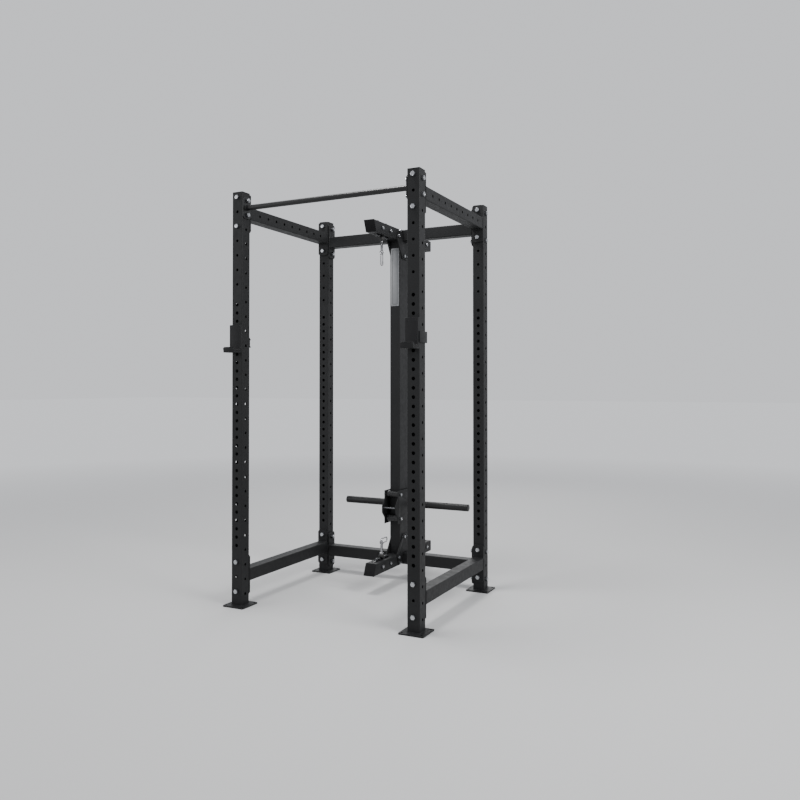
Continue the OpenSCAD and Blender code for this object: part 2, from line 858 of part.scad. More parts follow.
module jcup_left_bracket() { jcup_bracket(-up_x, -1); }
module jcup_left_liner() { jcup_liner(-up_x, -1); }
module jcup_right_bracket() { jcup_bracket(up_x, 1); }
module jcup_right_liner() { jcup_liner(up_x, 1); }

// ---------- Nodes ----------

upright_front_left();
upright_front_right();
upright_rear_left();
upright_rear_right();
upright_caps();
side_beam_upper_left();
side_beam_upper_right();
side_beam_lower_left();
side_beam_lower_right();
rear_beam_upper();
rear_beam_lower();
pull_up_bar();
frame_bolts();
frame_nuts();
tower_column();
label_plate();
upper_arm_front();
upper_arm_rear();
lower_arm_front();
lower_arm_rear();
upper_saddle_plates();
lower_saddle_plates();
tower_bolts();
tower_nuts();
arm_end_caps();
pulley_axles();
pulley_spacers();
upper_nose_pulley();
upper_front_pulley();
upper_middle_pulley();
upper_return_pulley();
upper_rear_pulley();
lower_rear_pulley();
lower_front_pulley();
lower_nose_pulley();
trolley_pulley();
trolley_plate_left();
trolley_plate_right();
weight_horn();
trolley_axles();
trolley_spacers();
roller_front_upper();
roller_front_lower();
roller_rear_upper();
roller_rear_lower();
cable_fixed();
cable_trolley_loop();
cable_trolley_runs();
cable_pull();
high_cable_end();
high_hook();
high_hook_gate();
low_cable_end();
low_hook();
low_hook_gate();
jcup_left_bracket();
jcup_left_liner();
jcup_right_bracket();
jcup_right_liner();
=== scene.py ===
"""Power cage with a cable tower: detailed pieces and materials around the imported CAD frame."""

import json
from math import ceil, cos, hypot, pi, radians, sin, tan

import bmesh
import bpy
from mathutils import Matrix, Vector


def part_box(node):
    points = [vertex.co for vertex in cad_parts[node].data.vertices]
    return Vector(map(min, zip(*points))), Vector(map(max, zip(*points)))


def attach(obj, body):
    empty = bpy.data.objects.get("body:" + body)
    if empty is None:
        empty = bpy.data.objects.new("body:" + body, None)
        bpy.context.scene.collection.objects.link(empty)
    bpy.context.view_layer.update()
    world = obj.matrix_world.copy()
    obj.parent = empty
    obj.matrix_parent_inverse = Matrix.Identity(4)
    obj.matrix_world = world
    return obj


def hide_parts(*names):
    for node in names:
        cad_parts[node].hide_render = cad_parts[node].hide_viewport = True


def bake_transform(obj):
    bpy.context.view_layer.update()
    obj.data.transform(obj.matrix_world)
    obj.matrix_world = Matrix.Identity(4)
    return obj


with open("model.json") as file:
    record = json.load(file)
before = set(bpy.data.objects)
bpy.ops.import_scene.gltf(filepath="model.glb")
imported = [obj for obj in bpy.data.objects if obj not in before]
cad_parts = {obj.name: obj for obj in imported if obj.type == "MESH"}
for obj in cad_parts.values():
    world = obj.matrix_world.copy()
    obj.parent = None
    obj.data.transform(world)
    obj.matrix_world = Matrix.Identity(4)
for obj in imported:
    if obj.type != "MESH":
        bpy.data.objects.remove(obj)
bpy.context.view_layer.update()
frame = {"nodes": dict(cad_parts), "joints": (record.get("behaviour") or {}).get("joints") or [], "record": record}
nodes = frame["nodes"]
BODY = {n: b for b, ns in frame["record"]["behaviour"]["bodies"].items() for n in ns}
SLOT = {s["node"]: s["material_slot"] for s in frame["record"]["subparts"]}
JOINT = {j["name"]: j for j in frame["joints"]}
scene = bpy.context.scene

# ---------- Camera ----------

# Place and lens come from a fit of the post edges and hole rows.
camera = bpy.data.objects.new("camera", bpy.data.cameras.new("camera"))
scene.collection.objects.link(camera)
scene.camera = camera
camera.location = (2.3831, -4.4536, 1.3309)
camera.rotation_euler = (radians(90.7306), 0, radians(26.445))
camera.data.sensor_width = 36
camera.data.lens = 35.035
camera.data.shift_y = -0.0311
camera.data.clip_end = 200

# ---------- Materials ----------


class Nodes:
    """Short calls for building one material's node tree."""

    def __init__(self, name):
        self.material = bpy.data.materials.new(name)
        self.material.use_nodes = True
        self.tree = self.material.node_tree
        self.shader = self.tree.nodes["Principled BSDF"]
        self.place = self.add("ShaderNodeTexCoord").outputs["Object"]

    def add(self, kind, **values):
        node = self.tree.nodes.new(kind)
        for key, value in values.items():
            setattr(node, key, value)
        return node

    def link(self, source, target):
        self.tree.links.new(source, target)

    def noise(self, scale, detail=3.0, rough=0.5, stretch=(1, 1, 1)):
        mapping = self.add("ShaderNodeMapping")
        mapping.inputs["Scale"].default_value = stretch
        self.link(self.place, mapping.inputs["Vector"])
        noise = self.add("ShaderNodeTexNoise")
        noise.inputs["Scale"].default_value = scale
        noise.inputs["Detail"].default_value = detail
        noise.inputs["Roughness"].default_value = rough
        self.link(mapping.outputs["Vector"], noise.inputs["Vector"])
        return noise.outputs["Fac"]

    def ramp(self, source, stops):
        """Colour ramp; stops are (position, colour or grey)."""
        ramp = self.add("ShaderNodeValToRGB")
        elements = ramp.color_ramp.elements
        while len(elements) < len(stops):
            elements.new(0.5)
        for element, (position, colour) in zip(elements, stops):
            element.position = position
            grey = isinstance(colour, (int, float))
            element.color = (colour,) * 3 + (1,) if grey else tuple(colour) + (1,)
        self.link(source, ramp.inputs["Fac"])
        return ramp.outputs["Color"]

    def bump(self, source, distance, strength=1.0, below=None):
        bump = self.add("ShaderNodeBump")
        bump.inputs["Distance"].default_value = distance
        bump.inputs["Strength"].default_value = strength
        self.link(source, bump.inputs["Height"])
        if below:
            self.link(below, bump.inputs["Normal"])
        return bump.outputs["Normal"]

    def mix(self, factor, one, two):
        mix = self.add("ShaderNodeMix", data_type="RGBA")
        self.link(factor, mix.inputs["Factor"])
        for socket, value in ((mix.inputs[6], one), (mix.inputs[7], two)):
            if isinstance(value, bpy.types.NodeSocket):
                self.link(value, socket)
            else:
                socket.default_value = tuple(value) + (1,)
        return mix.outputs[2]

    def set(self, **sockets):
        """Links sockets or sets numbers on the shader, by socket name with _ for a space."""
        for key, value in sockets.items():
            socket = self.shader.inputs[key.replace("_", " ")]
            if isinstance(value, bpy.types.NodeSocket):
                self.link(value, socket)
            else:
                socket.default_value = value
        return self.material


def powder_coat(name, dark, light, rough, shine=0.5):
    """Sprayed powder: fine grain, faint clouds in tone and gloss."""
    m = Nodes(name)
    grain = m.noise(1500, 2)
    peel = m.noise(260, 3)
    clouds = m.noise(5, 4)
    speck = m.ramp(m.noise(900, 2, 0.7), ((0.62, 0.0), (0.72, 1.0)))
    tone = m.ramp(clouds, ((0.3, dark), (0.7, light)))
    glint = [min(1, c * 1.7) for c in light]
    normal = m.bump(peel, 0.00022, 0.5)
    return m.set(
        Base_Color=m.mix(speck, tone, glint),
        Roughness=m.ramp(m.noise(40, 4), ((0.3, rough - 0.06), (0.7, rough + 0.07))),
        Specular_IOR_Level=shine,
        Normal=m.bump(grain, 0.00016, 0.6, normal),
    )


def metal(name, colour, rough, brushed, colour_change=0.08, along=(1, 1, 1)):
    """Plated or bare metal with fine brushing or mottling."""
    m = Nodes(name)
    marks = m.noise(brushed, 4, 0.65, along)
    dark = [c * (1 - colour_change) for c in colour]
    return m.set(
        Base_Color=m.ramp(m.noise(60, 3), ((0.35, dark), (0.65, colour))),
        Metallic=1.0,
        Roughness=m.ramp(marks, ((0.3, rough * 0.75), (0.7, rough * 1.3))),
        Normal=m.bump(marks, 0.00006, 0.35),
    )


def moulded(name, colour, rough, grain=1100, depth=0.00012, ior=1.5, shine=0.5):
    """Moulded plastic or rubber with a spark-eroded grain and slight flow marks."""
    m = Nodes(name)
    light = [c * 1.35 for c in colour]
    flow = m.noise(14, 3)
    normal = m.bump(m.noise(grain, 2, 0.6), depth, 0.6)
    return m.set(
        Base_Color=m.ramp(flow, ((0.3, colour), (0.7, light))),
        Roughness=m.ramp(m.noise(90, 3), ((0.3, rough - 0.05), (0.7, rough + 0.06))),
        IOR=ior,
        Specular_IOR_Level=shine,
        Normal=normal,
    )


def cable_jacket():
    """Clear-black jacket over wire rope: the strands show as faint slanted ridges."""
    m = Nodes("cable_jacket")
    wave = m.add("ShaderNodeTexWave", bands_direction="DIAGONAL")
    wave.inputs["Scale"].default_value = 130
    wave.inputs["Distortion"].default_value = 0.4
    m.link(m.place, wave.inputs["Vector"])
    strands = wave.outputs["Fac"]
    return m.set(
        Base_Color=m.ramp(strands, ((0.2, (0.008, 0.008, 0.009)), (0.8, (0.017, 0.017, 0.018)))),
        Roughness=m.ramp(m.noise(300, 3), ((0.3, 0.3), (0.7, 0.42))),
        Normal=m.bump(strands, 0.0002, 0.25),
    )


POWDER_DARK = (0.0062, 0.0064, 0.0068)
POWDER_LIGHT = (0.0090, 0.0093, 0.0098)
MATERIAL = {
    "powder_coat": powder_coat("powder_coat", POWDER_DARK, POWDER_LIGHT, 0.55, 0.27),
    "zinc_plate": metal("zinc_plate", (0.44, 0.45, 0.465), 0.26, 700),
    "polished_steel": metal("polished_steel", (0.37, 0.37, 0.38), 0.13, 500, 0.04),
    "label_aluminium": metal(
        "label_aluminium", (0.27, 0.274, 0.28), 0.45, 320, 0.06, along=(1, 1, 0.02)
    ),
    "black_plastic": moulded("black_plastic", (0.005, 0.005, 0.0054), 0.5, shine=0.16),
    "pulley_nylon": moulded("pulley_nylon", (0.016, 0.0165, 0.018), 0.17, 700, 0.00002, 1.6),
    "cable_jacket": cable_jacket(),
    "cup_liner": moulded("cup_liner", (0.0055, 0.0055, 0.006), 0.55, 500, 0.00015, shine=0.2),
}
SEMI_GLOSS = moulded("semi_gloss_coat", (0.0032, 0.0033, 0.0035), 0.37, 300, 0.00001, shine=0.45)
RUBBER = moulded("ball_rubber", (0.012, 0.012, 0.012), 0.62, 800, 0.0002)
GLOSS_PLASTIC = moulded("gloss_plastic", (0.006, 0.006, 0.0065), 0.24, 900, 0.00002)
DARK_STEEL = metal("dark_steel", (0.028, 0.028, 0.03), 0.45, 900)
DULL_ZINC = metal("dull_zinc", (0.17, 0.172, 0.18), 0.33, 700)
# Washer metal darkened almost to black: painted shade standing in for the shadow round each bolt head.
WASHER_PAINTED_SHADE = metal("washer_painted_shade", (0.045, 0.046, 0.05), 0.5, 900)
SEAL = moulded("bearing_seal", (0.02, 0.02, 0.021), 0.45, 1400)
NUMBER_PAINT = moulded("number_mark", (0.0045, 0.0045, 0.005), 0.7, 1800, 0.0001)

for name, obj in nodes.items():
    obj.data.materials.clear()
    obj.data.materials.append(MATERIAL[SLOT[name]])


# ---------- Mesh helpers ----------

SHARP_ANGLE = radians(35)


def piece(name, bm, body, slot, replaces=(), material=None):
    """Makes one object of a bmesh, riding on a body if it is given one."""
    bmesh.ops.recalc_face_normals(bm, faces=bm.faces)
    mesh = bpy.data.meshes.new(name)
    bm.to_mesh(mesh)
    bm.free()
    mesh.materials.append(material or MATERIAL[slot])
    mesh.polygons.foreach_set("use_smooth", [True] * len(mesh.polygons))
    mesh.set_sharp_from_angle(angle=SHARP_ANGLE)
    obj = bpy.data.objects.new(name, mesh)
    scene.collection.objects.link(obj)
    if body:
        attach(obj, body)
    if replaces:
        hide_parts(*replaces)
    return obj


def axis_matrix(origin, direction):
    """Matrix whose Z axis points along direction, with its origin at origin."""
    z = Vector(direction).normalized()
    x = Vector((0, 0, 1)).cross(z) if abs(z.z) < 0.9 else Vector((1, 0, 0))
    x.normalize()
    y = z.cross(x)
    m = Matrix((x, y, z)).transposed().to_4x4()
    m.translation = Vector(origin)
    return m


def skin(bm, rings, closed=False):
    """Joins rings of vertices one after another; a ring of one vertex is a tip."""
    pairs = list(zip(rings, rings[1:]))
    if closed:
        pairs.append((rings[-1], rings[0]))
    for one, two in pairs:
        n = max(len(one), len(two))
        for i in range(n):
            j = (i + 1) % n
            corners = [one[i % len(one)], one[j % len(one)], two[j % len(two)], two[i % len(two)]]
            kept = []
            for v in corners:
                if v not in kept:
                    kept.append(v)
            if len(kept) > 2:
                bm.faces.new(kept)


def ring(bm, matrix, z, radius, steps):
    """Ring of vertices round local Z; radius is a number or a function of the angle."""
    if not callable(radius) and radius < 1e-7:
        return [bm.verts.new(matrix @ Vector((0, 0, z)))]
    out = []
    for i in range(steps):
        a = 2 * pi * i / steps
        r = radius(a) if callable(radius) else radius
        height = z(a) if callable(z) else z
        out.append(bm.verts.new(matrix @ Vector((r * cos(a), r * sin(a), height))))
    return out


def revolve(bm, matrix, profile, steps=32, closed=False):
    """Turned shape: profile is (height, radius) pairs."""
    skin(bm, [ring(bm, matrix, z, r, steps) for z, r in profile], closed)


def hex_body(bm, matrix, across, height, bore=0.0, both=False):
    """Hexagon with chamfered corners on top, or on both faces, and a bore if it is a nut."""
    steps = 36
    flat = across / 2
    face_r = flat * 0.95
    bore_chamfer, dish = 0.0008, 0.0004

    def corner(a):
        return flat / cos((a % (pi / 3)) - pi / 6)

    def drop(a):
        return (corner(a) - face_r) * tan(radians(30))

    rings = [ring(bm, matrix, 0, bore, steps)]
    if both:
        rings.append(ring(bm, matrix, 0, face_r, steps))
        rings.append(ring(bm, matrix, drop, corner, steps))
    else:
        rings.append(ring(bm, matrix, 0, corner, steps))
    rings.append(ring(bm, matrix, lambda a: height - drop(a), corner, steps))
    rings.append(ring(bm, matrix, height, face_r, steps))
    if bore:
        rings.append(ring(bm, matrix, height, bore + bore_chamfer, steps))
        rings.append(ring(bm, matrix, height - bore_chamfer, bore, steps))
    else:
        rings.append(ring(bm, matrix, height, face_r * 0.82, steps))
        rings.append(ring(bm, matrix, height - dish, face_r * 0.78, steps))
        rings.append(ring(bm, matrix, height - dish, 0, steps))
    skin(bm, rings, closed=bool(bore))


def washer(bm, matrix, radius, thickness, bore):
    """Flat washer on local Z with chamfered outer edges."""
    edge = 0.0004
    profile = [
        (0, bore),
        (0, radius - edge),
        (edge, radius),
        (thickness - edge, radius),
        (thickness, radius - edge),
        (thickness, bore),
    ]
    revolve(bm, matrix, profile, 32, closed=True)


def islands(node):
    """Boxes of the separate solids in a CAD node, as (lowest, highest) corners."""
    mesh = nodes[node].data
    keys = [tuple(round(c, 6) for c in v.co) for v in mesh.vertices]
    parent = {k: k for k in keys}

    def root(k):
        while parent[k] != k:
            parent[k] = parent[parent[k]]
            k = parent[k]
        return k

    for polygon in mesh.polygons:
        first = root(keys[polygon.vertices[0]])
        for v in polygon.vertices[1:]:
            parent[root(keys[v])] = first
    boxes = {}
    for k in set(keys):
        lo, hi = boxes.setdefault(root(k), (list(k), list(k)))
        for i in range(3):
            lo[i] = min(lo[i], k[i])
            hi[i] = max(hi[i], k[i])
    return [(Vector(lo), Vector(hi)) for lo, hi in sorted(boxes.values())]


# ---------- Fasteners ----------

WASHER_T = 0.0025
WASHER_RATIO = 0.6  # washer radius over the head's width across flats
THREAD_TURNS = 14
NUT_CLEARANCE = 0.0001
NUT_SPAN_RATIO = 2.4  # a shorter fastener, in diameters, is a nut
M16 = {"dia": 0.016, "across": 0.024, "head": 0.010, "pitch": 0.002}
M12 = {"dia": 0.012, "across": 0.019, "head": 0.008, "pitch": 0.00175}


def fastener_axis(box, axis, from_high):
    """Matrix at the head end of a fastener's box, Z towards its tail, and its length."""
    lo, hi = box
    start = (lo + hi) / 2
    start[axis] = hi[axis] if from_high else lo[axis]
    direction = Vector((0, 0, 0))
    direction[axis] = -1 if from_high else 1
    return axis_matrix(start, direction), hi[axis] - lo[axis]


def bolt(bm, washers, matrix, length, size):
    """Head, washer and shank, its last stretch threaded; the head's top is at the origin."""
    head, r, pitch = size["head"], size["dia"] / 2, size["pitch"]
    top = matrix @ Matrix.Translation((0, 0, head)) @ Matrix.Rotation(pi, 4, "X")
    hex_body(bm, top, size["across"], head)
    under = matrix @ Matrix.Translation((0, 0, head))
    washer(washers, under, size["across"] * WASHER_RATIO, WASHER_T, r)
    shank_r = r - 0.0001
    profile = [(0.0002, 0), (0.0002, shank_r)]
    total = length - head
    z = total - THREAD_TURNS * pitch
    profile.append((z, shank_r))
    while z < total - pitch * 1.5:
        profile += [(z + pitch * 0.5, r - pitch * 0.45), (z + pitch, shank_r)]
        z += pitch
    profile += [(total - 0.0008, r - 0.0012), (total, r - 0.002), (total, 0)]
    revolve(bm, under, profile, 24)


def nut(bm, washers, matrix, length, size):
    """Washer and nut; the washer's face is at the origin."""
    bore = size["dia"] / 2 + NUT_CLEARANCE
    washer(washers, matrix, size["across"] * WASHER_RATIO, WASHER_T, bore)
    above = matrix @ Matrix.Translation((0, 0, WASHER_T))
    hex_body(bm, above, size["across"], length - WASHER_T, bore, both=True)


def fasteners(node, size):
    """Detailed bolts and nuts in the place of a CAD node of them."""
    bm, washers = bmesh.new(), bmesh.new()
    for box in islands(node):
        lo, hi = box
        span = hi - lo
        is_nut = max(span) < NUT_SPAN_RATIO * size["dia"]
        axis = (min if is_nut else max)(range(3), key=lambda i: span[i])
        # Along X the heads face away from the middle, and those of the tower face right.
        from_high = axis == 0 and lo.x + hi.x > -0.3
        matrix, length = fastener_axis(box, axis, from_high)
        (nut if is_nut else bolt)(bm, washers, matrix, length, size)
    piece(node + "_turned", bm, BODY[node], SLOT[node], (node,))
    # The washers get the near-black metal, painted shade for the shadow round each head.
    piece(node + "_washers", washers, BODY[node], SLOT[node], material=WASHER_PAINTED_SHADE)


for node, size in (
    ("frame_bolts", M16),
    ("frame_nuts", M16),
    ("tower_bolts", M12),
    ("tower_nuts", M12),
    ("pulley_axles", M12),
    ("trolley_axles", M12),
):
    fasteners(node, size)


# ---------- Wheels ----------


def wheel_frame(node):
    """Matrix on a wheel's axis at its low X end, with Z along +X, its length and its radius."""
    lo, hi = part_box(node)
    centre = (lo + hi) / 2
    return axis_matrix((lo.x, centre.y, centre.z), (1, 0, 0)), hi.x - lo.x, (hi.z - lo.z) / 2


def box_between(bm, matrix, lo, hi):
    """Rectangular block in a matrix's own axes."""
    lo, hi = Vector(lo), Vector(hi)
    move = Matrix.Translation((lo + hi) / 2)
    size = Matrix.Diagonal((*(hi - lo), 1))
    bmesh.ops.create_cube(bm, size=1, matrix=matrix @ move @ size)


AXLE_R = 0.00606
PULLEY_HALF = 0.008
HUB_R = 0.0155
BEARING_R = HUB_R - 0.0042
OUTER_RACE_R = BEARING_R - 0.0015
INNER_RACE_R = AXLE_R + 0.0018
CABLE_GROOVE = 0.003
LARGE_PULLEY_R = 0.045  # pulleys above this radius have eight ribs, others six


def pulley(node):
    """Grooved nylon wheel with a ribbed web and a sealed ball bearing pressed in."""
    at, width, r = wheel_frame(node)
    mid = at @ Matrix.Translation((0, 0, width / 2))
    body = BODY[node]
    web, rim_in, groove = 0.0026, r - 0.011, r - CABLE_GROOVE - 0.0026
    rib_half = 0.0014
    half_hub = width / 2 - 0.0006
    side = [
        (half_hub, BEARING_R),
        (half_hub, HUB_R - 0.0006),
        (half_hub - 0.0006, HUB_R),
        (web + 0.0008, HUB_R + 0.0012),
        (web, HUB_R + 0.0026),
        (web, rim_in - 0.002),
        (web + 0.0012, rim_in - 0.0004),
        (PULLEY_HALF - 0.0008, rim_in + 0.0004),
        (PULLEY_HALF, rim_in + 0.0012),
        (PULLEY_HALF, r - 0.0012),
        (PULLEY_HALF - 0.0006, r - 0.0003),
        (PULLEY_HALF - 0.0014, r),
        (0.0036, r - CABLE_GROOVE),
        (0.0024, groove + 0.0006),
        (0.0010, groove),
    ]
    profile = side + [(-z, radius) for z, radius in reversed(side)]
    bm = bmesh.new()
    revolve(bm, mid, profile, 64, closed=True)
    count = 8 if r > LARGE_PULLEY_R else 6
    for i in range(count):
        turn = mid @ Matrix.Rotation(2 * pi * i / count, 4, "Z")
        for s in (-1, 1):
            lo, hi = sorted((s * (web - 0.0005), s * (PULLEY_HALF - 0.0018)))
            box_between(bm, turn, (HUB_R, -rib_half, lo), (rim_in + 0.0005, rib_half, hi))
    piece(node + "_moulded", bm, body, SLOT[node], (node,))
    bm = bmesh.new()
    edge = 0.0003
    h = width / 2 - 0.0009
    for inner, outer in ((OUTER_RACE_R, BEARING_R), (AXLE_R, INNER_RACE_R)):
        ring_profile = [
            (-h, inner + edge),
            (-h, outer - edge),
            (-h + edge, outer),
            (h - edge, outer),
            (h, outer - edge),
            (h, inner + edge),
            (h - edge, inner),
            (-h + edge, inner),
        ]
        revolve(bm, mid, ring_profile, 40, closed=True)
    piece(node + "_races", bm, body, "zinc_plate")
    bm = bmesh.new()
    h = width / 2 - 0.0014
    shield = [(-h, INNER_RACE_R), (-h, OUTER_RACE_R), (h, OUTER_RACE_R), (h, INNER_RACE_R)]
    revolve(bm, mid, shield, 40, closed=True)
    piece(node + "_seals", bm, body, "black_plastic", material=SEAL)


def roller(node):
    """Guide roller with rounded shoulders, end recesses and steel bushes."""
    at, width, r = wheel_frame(node)
    mid = at @ Matrix.Translation((0, 0, width / 2))
    half = width / 2
    bush_r, bush_edge = 0.0098, 0.0004
    side = [
        (half - 0.0012, bush_r),
        (half - 0.0012, 0.0135),
        (half, 0.0141),
        (half, r - 0.0030),
        (half - 0.0008, r - 0.0012),
        (half - 0.0024, r - 0.0002),
        (half - 0.0050, r),
        (half - 0.0080, r),
    ]
    bm = bmesh.new()
    revolve(bm, mid, side + [(-z, radius) for z, radius in reversed(side)], 64, closed=True)
    piece(node + "_turned", bm, BODY[node], SLOT[node], (node,), GLOSS_PLASTIC)
    bm = bmesh.new()
    h = half - 0.0003
    bush = [
        (-h, AXLE_R),
        (-h, bush_r - bush_edge),
        (-h + bush_edge, bush_r),
        (h - bush_edge, bush_r),
        (h, bush_r - bush_edge),
        (h, AXLE_R),
    ]
    revolve(bm, mid, bush, 32, closed=True)
    piece(node + "_bush", bm, BODY[node], "zinc_plate")


for node in nodes:
    if node.endswith("_pulley"):
        pulley(node)
    elif node.startswith("roller_"):
        roller(node)

# ---------- Weight horn ----------

COLLAR_T = 0.008


def weight_horn(node):
    """Round bar with chamfered ends and two stop collars, each with its weld fillet."""
    lo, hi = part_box(node)
    collar_r = (hi.z - lo.z) / 2
    centre = (lo + hi) / 2
    bar_r, chamfer, half = 0.024, 0.003, (hi.x - lo.x) / 2
    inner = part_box("trolley_plate_right")[1].x
    outer = inner + COLLAR_T
    at = axis_matrix(centre, (1, 0, 0))
    side = [
        (inner, bar_r),
        (inner, collar_r - 0.0012),
        (inner + 0.0004, collar_r - 0.0004),
        (inner + 0.0012, collar_r),
        (outer - 0.0012, collar_r),
        (outer - 0.0004, collar_r - 0.0004),
        (outer, collar_r - 0.0012),
        (outer, bar_r + 0.0035),
        (outer + 0.0010, bar_r + 0.0016),
        (outer + 0.0035, bar_r),
        (outer + 0.0065, bar_r),
        (half - chamfer - 0.003, bar_r),
        (half - chamfer, bar_r),
        (half - chamfer * 0.3, bar_r - chamfer * 0.6),
        (half, bar_r - chamfer * 1.1),
        (half, 0),
    ]
    profile = [(-z, radius) for z, radius in reversed(side)] + side
    bm = bmesh.new()
    revolve(bm, at, profile, 64)
    piece(node + "_turned", bm, BODY[node], SLOT[node], (node,), SEMI_GLOSS)


weight_horn("weight_horn")

# ---------- Cable, ends and hooks ----------

CABLE_R = 0.0025
BALL_R = 0.019
EYE_R = 0.011
WIRE_R = 0.004
STUD_R = 0.008


def tube_ring(bm, centre, side, over, r, steps):
    """Ring of vertices round a centre, in the plane of two unit vectors."""
    out = []
    for k in range(steps):
        a = 2 * pi * k / steps
        out.append(bm.verts.new(centre + side * (r * cos(a)) + over * (r * sin(a))))
    return out


def wire(bm, points, radii, up=(1, 0, 0)):
    """Round wire through points, with a radius at each; its ends are closed flat."""
    up = Vector(up)
    rings = []
    last = len(points) - 1
    for i, (p, r) in enumerate(zip(points, radii)):
        ahead = Vector(points[min(i + 1, last)]) - Vector(points[max(i - 1, 0)])
        ahead.normalize()
        side = up.cross(ahead).normalized()
        rings.append(tube_ring(bm, Vector(p), side, ahead.cross(side), r, 20))
    skin(bm, rings)
    bm.faces.new(rings[0])
    bm.faces.new(rings[-1])


def straight(a, b, count):
    """Points along a line, both ends included."""
    a, b = Vector(a), Vector(b)
    return [a.lerp(b, i / count) for i in range(count + 1)]


def cable_run(name, node, top, bottom):
    """Straight stretch of cable between the frame and a moving body."""
    bm = bmesh.new()
    points = straight(top, bottom, max(24, int((top[2] - bottom[2]) / 0.03)))
    wire(bm, points, [CABLE_R] * len(points))
    obj = piece(name, bm, None, SLOT[node], (node,))
    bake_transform(obj)


lo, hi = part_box("cable_trolley_runs")
for side, y in (("front", lo.y + CABLE_R), ("rear", hi.y - CABLE_R)):
    name = "cable_trolley_run_" + side
    cable_run(name, "cable_trolley_runs", (0, y, hi.z), (0, y, lo.z))
lo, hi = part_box("cable_pull")
PULL_Y = (lo.y + hi.y) / 2
cable_run("cable_pull_run", "cable_pull", (0, PULL_Y, hi.z), (0, PULL_Y, lo.z))

COLLAR_PROFILE = (
    (0, 0),
    (0, 0.0128),
    (0.0007, 0.0135),
    (0.0087, 0.0135),
    (0.0095, 0.0128),
    (0.0095, 0),
)


def cable_end(node, sign):
    """Rubber stop ball, turned stud and welded eye; sign is +1 if it stands, on a collar."""
    lo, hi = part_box(node)
    ball_z = lo.z + BALL_R if sign > 0 else hi.z - BALL_R
    eye_z = hi.z - EYE_R - WIRE_R if sign > 0 else lo.z + EYE_R + WIRE_R
    body = BODY[node]
    at = axis_matrix((0, PULL_Y, ball_z), (0, 0, sign))
    r = BALL_R
    seam = 0.0004
    profile = [(-r * 0.985, 0.0029), (-r * 0.985, 0.0042)]
    for i in range(2, 30):
        a = -pi / 2 + pi * i / 31
        swell = r - seam if abs(a) < 0.06 else r
        if swell * cos(a) > 0.0045:
            profile.append((swell * sin(a), swell * cos(a)))
    profile += [(r * 0.96, 0.0045), (r * 0.80, 0.0040), (-r * 0.80, 0.0029)]
    bm = bmesh.new()
    revolve(bm, at, profile, 48, closed=True)
    piece(node + "_ball", bm, body, "black_plastic", (node,), RUBBER)
    start = r - 0.004
    length = abs(eye_z - ball_z) - EYE_R - start
    base = at @ Matrix.Translation((0, 0, start))
    bm = bmesh.new()
    groove_r = STUD_R - 0.0007
    stud = [
        (0, 0),
        (0, STUD_R),
        (0.0100, STUD_R),
        (0.0106, groove_r),
        (0.0122, groove_r),
        (0.0128, STUD_R),
        (0.0140, STUD_R),
        (length - 0.0060, STUD_R),
        (length - 0.0040, STUD_R),
        (length - 0.0026, STUD_R - 0.0006),
        (length - 0.0008, STUD_R - 0.0026),
        (length + 0.0010, STUD_R - 0.0042),
        (length + 0.0010, 0),
    ]
    revolve(bm, base, stud, 40)
    if sign > 0:
        revolve(bm, base @ Matrix.Translation((0, 0, -0.003)), COLLAR_PROFILE, 40)
    eye = axis_matrix((0, PULL_Y, eye_z), (0, 1, 0))
    centre, turn = eye.translation, eye.to_3x3()
    rings = []
    for i in range(40):
        a = 2 * pi * i / 40
        out = turn @ Vector((cos(a), sin(a), 0))
        rings.append(tube_ring(bm, centre + out * EYE_R, out, turn @ Vector((0, 0, 1)), WIRE_R, 16))
    skin(bm, rings, closed=True)
    piece(node + "_stud", bm, body, "polished_steel", (node,))


cable_end("high_cable_end", -1)
cable_end("low_cable_end", 1)

HOOK_R = 0.014
HOOK_STRAIGHT = 0.056
HOOK_MOUTH = 0.008
NOSE_TAPER = (WIRE_R - 0.0008, WIRE_R - 0.0001)
GATE_PIVOT = 0.047
GATE_EYE_R = 0.004
GATE_HALF = 0.0017
RIVET_R = 0.0012
RIVET_HOLE_R = 0.0013
CHEEK_IN, CHEEK_OUT = 0.00195, 0.00395
CHEEK_EDGE = 0.0003
RIVET_PROFILE = (
    (-0.0048, 0),
    (-0.0046, RIVET_R),
    (-0.0040, 0.0020),
    (-0.0039, RIVET_R),
    (0.0039, RIVET_R),
    (0.0040, 0.0020),
    (0.0046, RIVET_R),
    (0.0048, 0),
)
CHEEK_PROFILE = (
    (CHEEK_IN, RIVET_HOLE_R),
    (CHEEK_IN, 0.0038),
    (CHEEK_IN + CHEEK_EDGE, GATE_EYE_R),
    (CHEEK_OUT - CHEEK_EDGE, GATE_EYE_R),
    (CHEEK_OUT, 0.0038),
    (CHEEK_OUT, RIVET_HOLE_R),
)
GATE_EYE_PROFILE = (
    (-GATE_HALF, RIVET_HOLE_R),
    (-GATE_HALF, 0.0037),
    (-0.0014, GATE_EYE_R),
    (0.0014, GATE_EYE_R),
    (GATE_HALF, 0.0037),
    (GATE_HALF, RIVET_HOLE_R),
)


def hook_matrix(node):
    """Matrix of a hook's own frame: Z up its spine, the spine at low Y, its bow's top at z = 0."""
    lo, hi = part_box(node)
    if hi.z - lo.z > hi.y - lo.y:
        return Matrix.Translation((0, (lo.y + hi.y) / 2, hi.z - WIRE_R))
    turned = Matrix.Rotation(radians(90), 4, "X")
    return Matrix.Translation((0, lo.y + WIRE_R, (lo.z + hi.z) / 2)) @ turned


def arc(cy, cz, radius, start, sweep, count):
    """Points along an arc in the YZ plane; start and sweep are in degrees."""
    angles = [radians(start + sweep * i / count) for i in range(count + 1)]
    return [Vector((0, cy + radius * cos(a), cz + radius * sin(a))) for a in angles]


